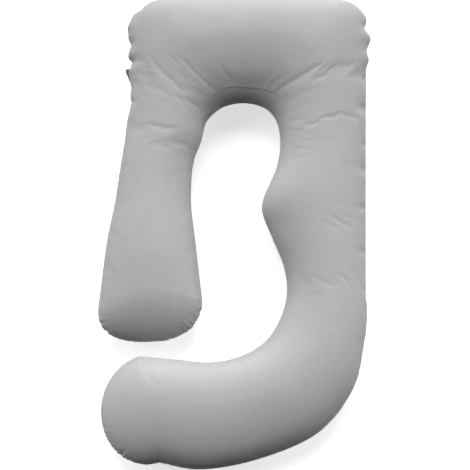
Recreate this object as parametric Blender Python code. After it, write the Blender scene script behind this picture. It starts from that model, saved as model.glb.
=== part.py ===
"""Full-body nursing and pregnancy pillow, lying flat on its back panel.

One long stuffed roll, bent into a hook: a short arm on the left, a head section across the top, a back
section with a belly bump down the right, and a leg section that turns back under the arm. A zipped jersey
cover goes over a sewn liner, and the liner holds the fibre filling.

Frame: metres, +Z up, X across, Y towards the head edge, origin under the middle of the overall box, on the
surface that the pillow lies on.
"""

import math

import bmesh
import bpy
from mathutils import Vector

# Plan sizes
LENGTH = 1.450  # overall, head edge to foot edge
WIDTH = 0.826  # overall, arm side to back side, over the zipper slider
HEAD_DEPTH = 0.318  # head edge to the neck opening
HEAD_INSET = 0.096  # head's left edge, inside the arm's widest point
HEAD_CORNER = 0.080  # how far each head corner's rounding reaches
NECK_FLARE = 0.018  # how much wider the opening gets on each side below its rounded top
ARM_END_WIDTH = 0.319
ARM_END_ROUND = 0.124  # length of the arm's rounded end
ARM_END_SLANT = 0.017  # how far the point of that end lies outside its middle
ARM_NECK_WIDTH = 0.237  # narrowest part of the arm
ARM_NECK_AT = 0.632  # its distance from the head edge
ARM_NECK_INSET = 0.048  # its outer edge, inside the arm's widest point
ARM_TO_LEG_GAP = 0.046  # from the arm's end to the leg section
BACK_WIDTH = 0.265  # back section beside the neck opening
BACK_AT = 0.462
BELLY_WIDTH = 0.322  # across the belly bump
BELLY_AT = 0.636
WAIST_WIDTH = 0.242  # narrowest part below the bump
WAIST_FROM_FOOT = 0.549
LEG_DEPTH = 0.331  # leg section, at its narrowest
LEG_END_DEPTH = 0.349
LEG_END_ROUND = 0.160  # length of the leg section's rounded end
LEG_END_SLANT = 0.042  # how far the point of that end lies below its middle
FOOT_ROUND = 0.430  # how far the curve from the back to the foot reaches up the back
EDGE_FROM_HEAD = 0.230  # the back's straight outer edge starts this far from the head edge
EDGE_FROM_CURVE = 0.060  # and ends this far above the foot's curve

# Heights
SEAM_HEIGHT = 0.084  # cover seam above the surface it lies on
CROWN = 0.106  # top of the roll above the seam, where the roll is ROLL_WIDTH across
BELLY = 0.101  # depth of the roll below the seam, before its underside is flattened
ROLL_WIDTH = 0.330
NARROW_FALL = 0.40  # power by which a narrower roll is lower
SECTION_POWER = 2.15  # 2 is an ellipse, more is squarer
ARM_END_POWER = 2.5  # plan rounding of the two ends, likewise
LEG_END_POWER = 2.0

# Layers, from the outside in
COVER_THICK = 0.0009
COVER_TO_LINER = 0.0012
LINER_THICK = 0.0005
LINER_TO_FILLING = 0.0009
PART_GAP = 0.0003  # between pieces that touch

# Zipper, on the straight outer edge of the back section
ZIP_FROM_HEAD = 0.245
ZIP_FROM_CURVE = 0.140  # lower end of the zipper to the foot's curve
ZIP_WINDOW = 0.0140  # height of the opening in the cover that shows the zipper
TAPE_WIDTH = 0.0075
TAPE_THICK = 0.0006
TAPE_END = 0.0100  # tape past the end of the chain
COIL_WIDTH = 0.0022
COIL_THICK = 0.0020
CHAIN_SLIT = 0.0014  # between the two coils
STOP_LENGTH = 0.0040
SLIDER_LENGTH = 0.0120
SLIDER_WALL = 0.0010
SLIDER_LIP = 0.0010
SLIDER_POST = 0.0050  # length of the post between its two plates
LUG_WIDTH = 0.0020
LUG_BAR = 0.0010
LUG_FOOT = 0.0014
PULL_LENGTH = 0.0280
PULL_WIDTH = 0.0064
PULL_THICK = 0.0010
PULL_EYE = 0.0036  # length of the hole that goes round the lug

# Side label, folded, sewn into the head's left seam
LABEL_FROM_HEAD = 0.232
LABEL_WIDTH = 0.046
LABEL_REACH = 0.016
LABEL_ROOT = 0.001  # held inside the seam
LABEL_THICK = 0.0004
LABEL_LOOP = 0.0016  # thickness over the fold

SPAN_STEPS = 2  # sections from one rib to the next
END_STEPS = 5  # sections in each rounded end
ARC_DEGREES = (21, 42, 65, 90, 115, 138, 159)  # round each panel, between its nearly upright edges

SLIDER_WIDTH = CHAIN_SLIT + 2 * (COIL_WIDTH + PART_GAP + SLIDER_LIP)
SLIDER_ROOM = COIL_THICK + 2 * PART_GAP  # between its two plates
SLIDER_THICK = SLIDER_ROOM + 2 * SLIDER_WALL
LUG_ROOM = PULL_THICK + 2 * PART_GAP
LUG_HEIGHT = LUG_ROOM + LUG_BAR

TAPE_REACH = CHAIN_SLIT / 2 + COIL_WIDTH + PART_GAP + TAPE_WIDTH  # from the seam to a tape's far edge
SEAM_GAP = LABEL_THICK + 2 * PART_GAP  # between the two panels of a sewn shell

LEFT = -WIDTH / 2
RIGHT = WIDTH / 2 - LUG_HEIGHT  # the cover's edge, which the slider's outer plate is level with
HEAD, FOOT = LENGTH / 2, -LENGTH / 2
NECK_RADIUS = (RIGHT - BACK_WIDTH - LEFT - ARM_NECK_INSET - ARM_NECK_WIDTH) / 2 - NECK_FLARE
CURVE_Y = FOOT + FOOT_ROUND
ZIP_X = RIGHT - SLIDER_THICK / 2
ZIP_TOP = HEAD - ZIP_FROM_HEAD
ZIP_BOTTOM = CURVE_Y + ZIP_FROM_CURVE
LINER_INSET = COVER_THICK + COVER_TO_LINER
FILLING_INSET = LINER_INSET + LINER_THICK + LINER_TO_FILLING
BEHIND_ZIP = SLIDER_THICK + 2 * PART_GAP  # the liner stays this far inside the cover's edge


# ---- objects and materials


def material(name, colour, roughness, metallic=0.0):
    made = bpy.data.materials.new(name)
    made.use_nodes = True
    shader = made.node_tree.nodes["Principled BSDF"]
    shader.inputs["Base Color"].default_value = (*colour, 1.0)
    shader.inputs["Roughness"].default_value = roughness
    shader.inputs["Metallic"].default_value = metallic
    return made


def add_object(name, bm, finish=None):
    mesh = bpy.data.meshes.new(name)
    bm.to_mesh(mesh)
    bm.free()
    mesh.shade_smooth()
    mesh.set_sharp_from_angle(angle=math.radians(40))
    made = bpy.data.objects.new(name, mesh)
    bpy.context.scene.collection.objects.link(made)
    if finish:
        mesh.materials.append(finish)
    return made


def add_box(name, size, centre, finish=None):
    """A box whose mesh is centred on its object's origin, placed by its location."""
    bm = bmesh.new()
    bmesh.ops.create_cube(bm, size=1.0)
    bmesh.ops.scale(bm, vec=size, verts=bm.verts)
    made = add_object(name, bm, finish)
    made.location = centre
    return made


def boolean(target, helper, operation):
    helper.hide_render = True
    helper.display_type = "WIRE"
    modifier = target.modifiers.new(helper.name, "BOOLEAN")
    modifier.object = helper
    modifier.operation = operation
    modifier.solver = "EXACT"


# ---- plan shape


def between(start, end, share):
    return start + (end - start) * share


def neck_point(degrees, stretch=1.0):
    """A point on the rounded top of the neck opening; 0 degrees is towards the back section."""
    centre = Vector((RIGHT - BACK_WIDTH - NECK_RADIUS, HEAD - HEAD_DEPTH - NECK_RADIUS))
    angle = math.radians(degrees)
    return centre + NECK_RADIUS * stretch * Vector((math.cos(angle), math.sin(angle)))


def rib_ends():
    """(inner point, outer point) of each rib across the roll, from the arm's end to the leg's end."""
    arm_top = FOOT + LEG_END_DEPTH + ARM_TO_LEG_GAP + ARM_END_ROUND
    arm_neck_y = HEAD - ARM_NECK_AT
    arm_neck_outer = LEFT + ARM_NECK_INSET
    arm_neck_inner = arm_neck_outer + ARM_NECK_WIDTH
    swell_y = between(arm_top, arm_neck_y, 0.62)
    swell_outer = between(LEFT, arm_neck_outer, 0.5)
    swell_inner = between(LEFT + ARM_END_WIDTH, arm_neck_inner, 0.62)
    neck_y = HEAD - HEAD_DEPTH - NECK_RADIUS
    upper_arm_y = between(neck_y, arm_neck_y, 0.36)
    head_left = LEFT + HEAD_INSET
    corner = HEAD_CORNER
    back_inner = RIGHT - BACK_WIDTH
    belly_inner = RIGHT - BELLY_WIDTH
    belly_y = HEAD - BELLY_AT
    waist_inner = RIGHT - WAIST_WIDTH
    waist_y = FOOT + WAIST_FROM_FOOT
    edge_top, edge_bottom = HEAD - EDGE_FROM_HEAD, CURVE_Y + EDGE_FROM_CURVE
    leg_top = FOOT + LEG_DEPTH
    leg_end_inner = LEFT + 0.77 * LEG_END_ROUND
    leg_end_outer = LEFT + 1.17 * LEG_END_ROUND
    return [
        # arm
        ((LEFT + ARM_END_WIDTH, arm_top), (LEFT, arm_top)),
        ((swell_inner, swell_y), (swell_outer, swell_y)),
        ((arm_neck_inner, arm_neck_y), (arm_neck_outer, arm_neck_y)),
        ((arm_neck_inner + 0.006, upper_arm_y), (between(arm_neck_outer, head_left, 0.4), upper_arm_y)),
        # head, round the neck opening
        (neck_point(181, 1.05), (head_left - 0.012, neck_y + 0.030)),
        (neck_point(150, 1.04), (head_left + 0.003, HEAD - 0.235)),
        (neck_point(124, 1.02), (head_left, HEAD - 1.45 * corner)),
        (neck_point(106, 1.00), (head_left + 0.34 * corner, HEAD - 0.40 * corner)),
        (neck_point(92), (head_left + 1.7 * corner, HEAD)),
        (neck_point(78, 1.01), (between(head_left, RIGHT, 0.5), HEAD)),
        (neck_point(64, 1.04), (RIGHT - 2.6 * corner, HEAD)),
        (neck_point(49, 1.07), (RIGHT - 0.48 * corner, HEAD - 0.22 * corner)),
        (neck_point(34, 1.06), (RIGHT, HEAD - 1.1 * corner)),
        (neck_point(15, 1.02), (RIGHT, edge_top)),
        # back, with the belly bump
        ((back_inner, HEAD - BACK_AT), (RIGHT, between(edge_top, edge_bottom, 0.19))),
        ((back_inner - 0.014, HEAD - BACK_AT - 0.064), (RIGHT, between(edge_top, edge_bottom, 0.38))),
        ((belly_inner, belly_y), (RIGHT, between(edge_top, edge_bottom, 0.56))),
        (
            (between(belly_inner, waist_inner, 0.38), between(belly_y, waist_y, 0.34)),
            (RIGHT, between(edge_top, edge_bottom, 0.71)),
        ),
        (
            (between(belly_inner, waist_inner, 0.87), between(belly_y, waist_y, 0.70)),
            (RIGHT, between(edge_top, edge_bottom, 0.89)),
        ),
        ((waist_inner, waist_y), (RIGHT, edge_bottom)),
        # foot curve and leg
        ((waist_inner - 0.019, waist_y - 0.077), (RIGHT - 0.006, CURVE_Y - 0.045)),
        ((waist_inner - 0.065, waist_y - 0.150), (RIGHT - 0.039, CURVE_Y - 0.182)),
        (
            (between(waist_inner, leg_end_inner, 0.314), leg_top + 0.019),
            (between(RIGHT, leg_end_outer, 0.233), FOOT + 0.112),
        ),
        (
            (between(waist_inner, leg_end_inner, 0.530), leg_top),
            (between(RIGHT, leg_end_outer, 0.525), FOOT + 0.031),
        ),
        (
            (between(waist_inner, leg_end_inner, 0.733), leg_top + 0.008),
            (between(RIGHT, leg_end_outer, 0.804), FOOT),
        ),
        ((leg_end_inner, FOOT + LEG_END_DEPTH), (leg_end_outer, FOOT + 0.022)),
    ]


def smooth_point(points, i, t):
    """The Catmull-Rom curve through the points, between points i and i + 1."""
    p0, p1, p2, p3 = points[i - 1 : i + 3]
    even = 2 * p1 + (p2 - p0) * t
    return 0.5 * (even + (2 * p0 - 5 * p1 + 4 * p2 - p3) * t**2 + (3 * p1 - p0 - 3 * p2 + p3) * t**3)


def round_end(rib, point, power):
    """(middle, half rib, width share, height share, run) of the sections of a rounded end, its point last."""
    inner, outer = rib
    middle = (inner + outer) / 2
    found = []
    for step in range(1, END_STEPS + 1):
        angle = math.radians(90 * step / END_STEPS)
        run = math.sin(angle) ** (2 / power)
        share = max(math.cos(angle), 0.0)
        found.append((middle, (outer - inner) / 2, share ** (2 / power), share, (point - middle) * run))
    return found


def sections():
    """Every section along the roll, from the arm's point to the leg's."""
    ribs = [(Vector(inner), Vector(outer)) for inner, outer in rib_ends()]
    first, last = ribs[0], ribs[-1]
    arm_point = (first[0] + first[1]) / 2 - Vector((ARM_END_SLANT, ARM_END_ROUND))
    leg_middle = (last[0] + last[1]) / 2
    leg_point = Vector((LEFT + 0.010, leg_middle.y - LEG_END_SLANT))
    sides = []
    for side in (0, 1):
        points = [rib[side] for rib in ribs]
        sides.append([2 * points[0] - points[1], *points, 2 * points[-1] - points[-2]])
    along = []
    for i in range(1, len(ribs)):
        for step in range(SPAN_STEPS):
            inner, outer = (smooth_point(points, i, step / SPAN_STEPS) for points in sides)
            along.append(((inner + outer) / 2, (outer - inner) / 2, 1.0, 1.0, Vector((0, 0))))
    along.append((leg_middle, (last[1] - last[0]) / 2, 1.0, 1.0, Vector((0, 0))))
    arm_end = round_end(first, arm_point, ARM_END_POWER)
    return [*reversed(arm_end), *along, *round_end(last, leg_point, LEG_END_POWER)]


# ---- stuffed layers


def section_points(section, inset, above, gap, clip):
    """One panel's points on a section, from its inner edge over the roll to its outer edge.

    The section is a superellipse, inset on every side, whose first and last facets stand nearly upright, as
    high as the zipper's tapes. Its underside is flat where it meets the surface that it lies on. No point
    goes past the head edge, the arm's side, or x = clip, which leaves room for the zipper.
    """
    middle, half, width_share, height_share, run = section
    across = half.normalized()
    width = (half.length - inset) * width_share
    fall = (2 * half.length / ROLL_WIDTH) ** NARROW_FALL
    height = ((CROWN if above else BELLY) * fall - inset) * height_share
    shift = run * (1 - inset / max(run.length, inset)) if run.length else run
    sign = 1 if above else -1
    upright = 0.0 if height <= 0 else min(1.2 * TAPE_REACH / height, 0.2)
    edge_degrees = math.degrees(math.asin(upright ** (SECTION_POWER / 2)))
    points = []
    for degrees in (0, edge_degrees, *ARC_DEGREES, 180 - edge_degrees, 180):
        angle = math.radians(degrees)
        out = -math.copysign(abs(math.cos(angle)) ** (2 / SECTION_POWER), math.cos(angle)) * width
        up = max(math.sin(angle), 0.0) ** (2 / SECTION_POWER) * height
        at = middle + shift + across * out
        x, y = min(max(at.x, LEFT + inset), clip), min(at.y, HEAD - inset)
        points.append(Vector((x, y, max(SEAM_HEIGHT + sign * (gap / 2 + up), inset))))
    return points


def panel_faces(bm, inset, above, gap, clip):
    rows = [[bm.verts.new(p) for p in section_points(s, inset, above, gap, clip)] for s in sections()]
    for near, far in zip(rows, rows[1:]):
        for j in range(len(near) - 1):
            quad = (near[j], near[j + 1], far[j + 1], far[j])
            bm.faces.new(quad[::-1] if above else quad)


def add_panel(name, inset, thick, above, clip, finish):
    """One sewn panel of a shell: the roll's upper or lower surface, thickened inwards."""
    bm = bmesh.new()
    panel_faces(bm, inset, above, SEAM_GAP, clip)
    bmesh.ops.remove_doubles(bm, verts=bm.verts, dist=1e-6)
    bmesh.ops.triangulate(bm, faces=bm.faces)
    made = add_object(name, bm, finish)
    wall = made.modifiers.new("wall", "SOLIDIFY")
    wall.thickness = thick
    wall.offset = -1
    return made


def add_filling(name, finish):
    bm = bmesh.new()
    clip = RIGHT - BEHIND_ZIP - LINER_THICK - LINER_TO_FILLING
    for above in (True, False):
        panel_faces(bm, FILLING_INSET, above, 0.0, clip)
    bmesh.ops.remove_doubles(bm, verts=bm.verts, dist=1e-6)
    bmesh.ops.triangulate(bm, faces=bm.faces)
    return add_object(name, bm, finish)


def seam_x_at(y):
    """Where the outer seam of the head's left side is, at this distance up."""
    left_of = LEFT + HEAD_INSET + HEAD_CORNER
    outer = [middle + half for middle, half, *_ in sections() if (middle + half).x < left_of]
    above = min((p for p in outer if p.y >= y), key=lambda p: p.y)
    below = max((p for p in outer if p.y < y), key=lambda p: p.y)
    return below.x + (above.x - below.x) * (y - below.y) / (above.y - below.y)


def add_label(name, finish):
    """A woven label folded once: a single root in the seam, and the fold outside it."""
    root, fold = LABEL_THICK / 2, LABEL_LOOP / 2
    start = 4 * fold  # clear of the cover before it thickens
    upper = [(-LABEL_ROOT, root), (start, root), (2 * start, fold), (LABEL_REACH - fold, fold)]
    upper.append((LABEL_REACH, root))
    profile = upper + [(out, -z) for out, z in reversed(upper)]
    bm = bmesh.new()
    ends = []
    for y in (HEAD - LABEL_FROM_HEAD - LABEL_WIDTH / 2, HEAD - LABEL_FROM_HEAD + LABEL_WIDTH / 2):
        seam = seam_x_at(y)
        ends.append([bm.verts.new((seam - out, y, SEAM_HEIGHT + z)) for out, z in profile])
    for i, (first, second) in enumerate(zip(*ends)):
        bm.faces.new((ends[0][i - 1], first, second, ends[1][i - 1]))
    bm.faces.new(ends[0])
    bm.faces.new(ends[1])
    bmesh.ops.recalc_face_normals(bm, faces=bm.faces)
    return add_object(name, bm, finish)


# ---- zipper


def add_zip_chain(tape_finish, coil_finish, stop_finish):
    """Two tapes and coils, the two top stops and the bottom stop."""
    length = ZIP_TOP - ZIP_BOTTOM
    middle = (ZIP_TOP + ZIP_BOTTOM) / 2
    coil_z = CHAIN_SLIT / 2 + COIL_WIDTH / 2
    tape_z = CHAIN_SLIT / 2 + COIL_WIDTH + PART_GAP + TAPE_WIDTH / 2
    stop_y = ZIP_TOP + PART_GAP + STOP_LENGTH / 2
    for side, sign in (("upper", 1), ("lower", -1)):
        tape_size = (TAPE_THICK, length + 2 * TAPE_END, TAPE_WIDTH)
        add_box(f"zip_tape_{side}", tape_size, (ZIP_X, middle, SEAM_HEIGHT + sign * tape_z), tape_finish)
        coil_size = (COIL_THICK, length, COIL_WIDTH)
        add_box(f"zip_coil_{side}", coil_size, (ZIP_X, middle, SEAM_HEIGHT + sign * coil_z), coil_finish)
        stop_size = (COIL_THICK, STOP_LENGTH, COIL_WIDTH)
        add_box(f"zip_top_stop_{side}", stop_size, (ZIP_X, stop_y, SEAM_HEIGHT + sign * coil_z), stop_finish)
    stop_size = (COIL_THICK, STOP_LENGTH, CHAIN_SLIT + 2 * COIL_WIDTH)
    stop_y = ZIP_BOTTOM - PART_GAP - STOP_LENGTH / 2
    add_box("zip_bottom_stop", stop_size, (ZIP_X, stop_y, SEAM_HEIGHT), stop_finish)


def add_slider(name, finish):
    """Two plates joined by a post at the head end, with lips over the tapes and a lug for the pull."""
    y = ZIP_TOP - SLIDER_LENGTH / 2
    centre = Vector((ZIP_X, y, SEAM_HEIGHT))
    slider = add_box(name, (SLIDER_THICK, SLIDER_LENGTH, SLIDER_WIDTH), centre, finish)
    through = 1.2 * SLIDER_LENGTH
    channel_width = COIL_WIDTH + 2 * PART_GAP
    post_half = CHAIN_SLIT / 2 - PART_GAP
    for side, sign in (("upper", 1), ("lower", -1)):
        at = centre + Vector((0, 0, sign * (post_half + channel_width / 2)))
        channel = add_box(f"cut_channel_{side}", (SLIDER_ROOM, through, channel_width), at)
        boolean(slider, channel, "DIFFERENCE")
        slot_size = (TAPE_THICK + 2 * PART_GAP, through, SLIDER_WIDTH)
        at = centre + Vector((0, 0, sign * (SLIDER_WIDTH / 2 + COIL_WIDTH)))
        boolean(slider, add_box(f"cut_tape_{side}", slot_size, at), "DIFFERENCE")
    behind = through / 2 + SLIDER_LENGTH / 2 - SLIDER_POST
    middle_size = (SLIDER_ROOM, behind, 2 * post_half + 2 * PART_GAP)
    at = centre + Vector((0, SLIDER_LENGTH / 2 - SLIDER_POST - behind / 2, 0))
    boolean(slider, add_box("cut_behind_post", middle_size, at), "DIFFERENCE")
    lug_length = LUG_ROOM + 2 * PART_GAP + 2 * LUG_FOOT
    sunk = SLIDER_WALL / 2
    plate = SLIDER_THICK / 2
    lug_at = centre + Vector((plate + (LUG_HEIGHT - sunk) / 2, 0, 0))
    boolean(slider, add_box("join_lug", (LUG_HEIGHT + sunk, lug_length, LUG_WIDTH), lug_at), "UNION")
    eye_size = (LUG_ROOM, LUG_ROOM + 2 * PART_GAP, 2 * LUG_WIDTH)
    boolean(slider, add_box("cut_lug", eye_size, centre + Vector((plate + LUG_ROOM / 2, 0, 0))), "DIFFERENCE")
    return slider


def add_pull(name, slider, finish):
    """A flat pull with a round end, hooked through the lug. Its origin is on the bar that it swings on."""
    bm = bmesh.new()
    reach = PULL_LENGTH - PULL_THICK / 2
    radius = PULL_WIDTH / 2
    outline = [(PULL_THICK / 2, radius), (PULL_THICK / 2, -radius)]
    for step in range(13):
        angle = math.pi * step / 12
        outline.append((radius - reach - radius * math.sin(angle), -radius * math.cos(angle)))
    end = bm.faces.new([bm.verts.new((-PULL_THICK / 2, y, z)) for y, z in outline])
    grown = bmesh.ops.extrude_face_region(bm, geom=[end])["geom"]
    moved = [item for item in grown if isinstance(item, bmesh.types.BMVert)]
    bmesh.ops.translate(bm, verts=moved, vec=(PULL_THICK, 0, 0))
    bmesh.ops.recalc_face_normals(bm, faces=bm.faces)
    pull = add_object(name, bm, finish)
    eye_width = LUG_WIDTH + 2.5 * PART_GAP
    eye = add_box("cut_eye", (2 * PULL_THICK, PULL_EYE, eye_width), (0, -(PULL_THICK + PULL_EYE) / 2, 0))
    boolean(pull, eye, "DIFFERENCE")
    pull.parent = slider
    pull.location = (SLIDER_THICK / 2 + LUG_ROOM / 2, 0, 0)
    eye.parent = pull
    return pull


def cut_zip_window(panels):
    """The opening between the two cover panels, where the zipper shows."""
    length = ZIP_TOP - ZIP_BOTTOM + 2 * (PART_GAP + STOP_LENGTH)
    size = (4 * COVER_THICK, length, ZIP_WINDOW)
    window = add_box("cut_zip_window", size, (RIGHT, (ZIP_TOP + ZIP_BOTTOM) / 2, SEAM_HEIGHT))
    for panel in panels:
        boolean(panel, window, "DIFFERENCE")


def main():
    for old in list(bpy.data.objects):
        bpy.data.objects.remove(old)
    jersey = material("jersey_grey", (0.42, 0.42, 0.43), 0.9)
    liner_cloth = material("liner_white", (0.85, 0.85, 0.84), 0.9)
    fibre = material("fibre_fill", (0.93, 0.93, 0.92), 1.0)
    tape = material("zip_tape_grey", (0.40, 0.40, 0.41), 0.85)
    nylon = material("zip_coil_grey", (0.36, 0.36, 0.37), 0.4)
    metal = material("zip_metal", (0.55, 0.55, 0.56), 0.3, 1.0)
    label_cloth = material("label_dark", (0.10, 0.10, 0.11), 0.8)

    front = add_panel("cover_front_panel", 0.0, COVER_THICK, True, RIGHT, jersey)
    back = add_panel("cover_back_panel", 0.0, COVER_THICK, False, RIGHT, jersey)
    cut_zip_window((front, back))
    liner_clip = RIGHT - BEHIND_ZIP
    add_panel("liner_front_panel", LINER_INSET, LINER_THICK, True, liner_clip, liner_cloth)
    add_panel("liner_back_panel", LINER_INSET, LINER_THICK, False, liner_clip, liner_cloth)
    add_filling("filling", fibre)
    add_label("side_label", label_cloth)
    add_zip_chain(tape, nylon, metal)
    slider = add_slider("zip_slider", metal)
    add_pull("zip_pull", slider, metal)


main()
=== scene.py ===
import bpy
import numpy as np
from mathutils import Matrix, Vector


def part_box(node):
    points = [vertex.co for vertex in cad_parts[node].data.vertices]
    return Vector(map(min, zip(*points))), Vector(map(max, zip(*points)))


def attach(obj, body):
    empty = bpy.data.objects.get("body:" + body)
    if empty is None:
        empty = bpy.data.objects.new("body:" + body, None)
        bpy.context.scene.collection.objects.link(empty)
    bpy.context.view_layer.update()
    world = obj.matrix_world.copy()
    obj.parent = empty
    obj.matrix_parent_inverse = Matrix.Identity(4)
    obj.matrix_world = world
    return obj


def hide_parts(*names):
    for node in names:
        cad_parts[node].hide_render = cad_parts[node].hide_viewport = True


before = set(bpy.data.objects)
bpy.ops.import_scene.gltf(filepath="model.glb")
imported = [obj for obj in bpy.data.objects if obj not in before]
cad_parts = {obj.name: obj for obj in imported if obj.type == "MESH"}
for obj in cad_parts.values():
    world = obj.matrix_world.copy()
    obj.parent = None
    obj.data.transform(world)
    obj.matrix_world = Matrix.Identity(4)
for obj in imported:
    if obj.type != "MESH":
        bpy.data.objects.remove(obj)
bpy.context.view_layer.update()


# Places, read from the frame

coverLow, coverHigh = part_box("cover_front_panel")
left, foot = coverLow[0], coverLow[1]
right, head = coverHigh[0], coverHigh[1]
seamHeight = (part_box("cover_front_panel")[0][2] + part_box("cover_back_panel")[1][2]) / 2
tapeLow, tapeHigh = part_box("zip_tape_upper")
coilLow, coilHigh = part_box("zip_coil_upper")
zipX = (tapeLow[0] + tapeHigh[0]) / 2
zipBottom, zipTop = coilLow[1], coilHigh[1]


# Shader building

class Wire:
    # One value in a material. Arithmetic on it adds Math nodes.
    def __init__(self, finish, socket):
        self.finish = finish
        self.socket = socket

    def math(self, operation, *values):
        return self.finish.add("ShaderNodeMath", {"operation": operation}, dict(enumerate(values)))

    def __add__(self, other):
        return self.math("ADD", self, other)

    def __mul__(self, other):
        return self.math("MULTIPLY", self, other)

    def __radd__(self, other):
        return self.math("ADD", other, self)

    def __rmul__(self, other):
        return self.math("MULTIPLY", other, self)

    def sine(self):
        return self.math("SINE", self)

    def between(self, low, high):
        # 0 below low, 1 above high, smooth in between
        inputs = {"Value": self, "From Min": low, "From Max": high, "To Min": 0.0, "To Max": 1.0}
        return self.finish.add("ShaderNodeMapRange", {"interpolation_type": "SMOOTHSTEP"}, inputs)


class Finish:
    # A material under way. add() makes any node from its type, its settings and its inputs.
    def __init__(self, name):
        self.made = bpy.data.materials.new(name)
        self.made.use_nodes = True
        self.tree = self.made.node_tree
        self.shader = self.tree.nodes["Principled BSDF"]

    def put(self, socket, value):
        if isinstance(value, Wire):
            self.tree.links.new(value.socket, socket)
        else:
            socket.default_value = value

    def add(self, kind, settings=None, inputs=None, output=0):
        node = self.tree.nodes.new(kind)
        for name, value in (settings or {}).items():
            setattr(node, name, value)
        for name, value in (inputs or {}).items():
            self.put(node.inputs[name], value)
        return Wire(self, node.outputs[output])

    def uv(self, name):
        return self.add("ShaderNodeUVMap", {"uv_map": name})

    def place(self):
        return self.add("ShaderNodeTexCoord", output=3)

    def stretched(self, vector, scale):
        return self.add("ShaderNodeVectorMath", {"operation": "MULTIPLY"}, {0: vector, 1: scale})

    def axis(self, vector, name):
        return self.add("ShaderNodeSeparateXYZ", None, {0: vector}, "XYZ".index(name))

    def noise(self, vector, scale, detail=2.0, roughness=0.5):
        inputs = {"Vector": vector, "Scale": scale, "Detail": detail, "Roughness": roughness}
        return self.add("ShaderNodeTexNoise", None, inputs)

    def mix(self, share, first, second):
        return self.add("ShaderNodeMix", {"data_type": "RGBA"}, {0: share, 6: first, 7: second}, 2)

    def bump(self, height, strength, distance):
        inputs = {"Height": height, "Strength": strength, "Distance": distance}
        return self.add("ShaderNodeBump", None, inputs)

    def finished(self, **values):
        # sets the shader's sockets; spaces in their names are written as underscores
        for name, value in values.items():
            self.put(self.shader.inputs[name.replace("_", " ")], value)
        return self.made


def tone(colour):
    # the colour with its fourth value
    return (*colour, 1.0)


# The roll's plan: the same ribs as the frame's solids

roll = {
    "headDepth": 0.318, "headInset": 0.096, "headCorner": 0.080, "neckFlare": 0.018,
    "armEndWidth": 0.319, "armEndRound": 0.124, "armEndSlant": 0.017,
    "armNeckWidth": 0.237, "armNeckAt": 0.632, "armNeckInset": 0.048, "armToLegGap": 0.046,
    "backWidth": 0.265, "backAt": 0.462, "bellyWidth": 0.322, "bellyAt": 0.636,
    "waistWidth": 0.242, "waistFromFoot": 0.549,
    "legDepth": 0.331, "legEndDepth": 0.349, "legEndRound": 0.160, "legEndSlant": 0.042,
    "footRound": 0.430, "edgeFromHead": 0.230, "edgeFromCurve": 0.060,
    "crown": 0.106, "belly": 0.101, "rollWidth": 0.330, "narrowFall": 0.40,
    "sectionPower": 2.05, "armEndPower": 2.5, "legEndPower": 2.0,
    "armTaper": 0.24, "armTaperLength": 0.24,  # the arm thins by this share, over this length up to its tip
    "legTaper": 0.20, "legTaperLength": 0.26,
    "flankChange": 0.26,  # how much squarer the flanks on the head edge's side are, and rounder the others
    "crownShift": 0.056,  # how far the crown sits towards the head edge of the roll's middle
    "riseFrom": 0.03, "riseOver": 0.16, "riseDegrees": 22, "crestDegrees": 11,  # the inner seam's rise
    "rowStep": 0.0098, "columns": 40, "endRows": 18,
}


def between(start, end, share):
    # the value at this share of the way from start to end
    return start + (end - start) * share


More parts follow.
